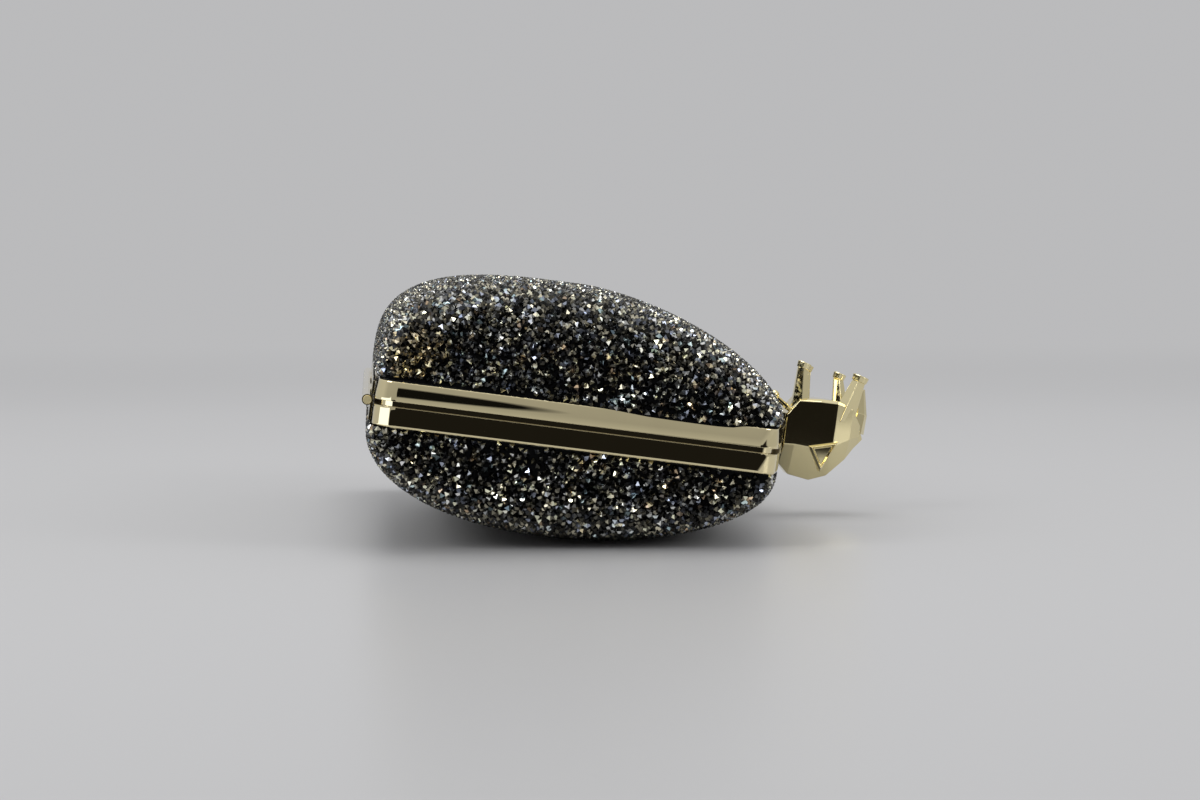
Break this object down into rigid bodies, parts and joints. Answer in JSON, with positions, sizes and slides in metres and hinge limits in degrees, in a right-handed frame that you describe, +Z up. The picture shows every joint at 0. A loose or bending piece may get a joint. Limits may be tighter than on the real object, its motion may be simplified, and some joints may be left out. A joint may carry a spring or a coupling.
{
  "type": "crystal clutch",
  "caption": "Domed hard-case evening clutch covered in pointed crystals, with gold frames, a side hinge and a sprung clasp worn by a faceted elephant figure.",
  "frame": {"origin": "on the small flat where the domed back rests on the ground", "axes": "+Y along the clutch's length, +X from the hinge to the clasp, +Z up; the parting leans 7.5 degrees about Y, clasp side down, as the clutch rests"},
  "size_m": [0.1448, 0.18, 0.0686],
  "materials": {
    "crystal_fabric_back": "faceted",
    "crystal_fabric_front": "faceted",
    "moulded_shell": "matte",
    "lining_fabric": "soft",
    "gold_plated_brass": "polished",
    "cast_figure": "polished",
    "clasp_steel": "satin"
  },
  "bodies": {
    "back_half": {"back_crystal_cover": "crystal_fabric_back", "back_shell": "moulded_shell", "back_frame": "gold_plated_brass", "back_lining": "lining_fabric", "back_hinge_leaf": "gold_plated_brass", "hinge_pin": "gold_plated_brass", "clasp_keeper": "gold_plated_brass", "keeper_rivet_near": "gold_plated_brass", "keeper_rivet_far": "gold_plated_brass"},
    "front_half": {"front_crystal_cover": "crystal_fabric_front", "front_shell": "moulded_shell", "front_frame": "gold_plated_brass", "front_lining": "lining_fabric", "front_hinge_leaf": "gold_plated_brass", "clasp_bracket": "gold_plated_brass", "bracket_rivet_near": "gold_plated_brass", "bracket_rivet_far": "gold_plated_brass", "clasp_pin": "clasp_steel", "clasp_spring": "clasp_steel"},
    "clasp_lever": {"clasp_lever": "gold_plated_brass", "clasp_figure": "cast_figure", "figure_screw_near": "clasp_steel", "figure_screw_far": "clasp_steel"}
  },
  "joints": [
    {"name": "lid_hinge", "type": "hinge", "parent": "back_half", "child": "front_half", "pos_m": [-0.06896, 0, 0.0381], "axis": [0, -1, 0], "range_deg": [0, 100]},
    {"name": "clasp_release", "type": "hinge", "parent": "front_half", "child": "clasp_lever", "pos_m": [0.04756, 0, 0.02679], "axis": [0, -1, 0], "range_deg": [0, 9], "stiffness_Nm_per_rad": 0.05, "springref_deg": -28.65}
  ]
}
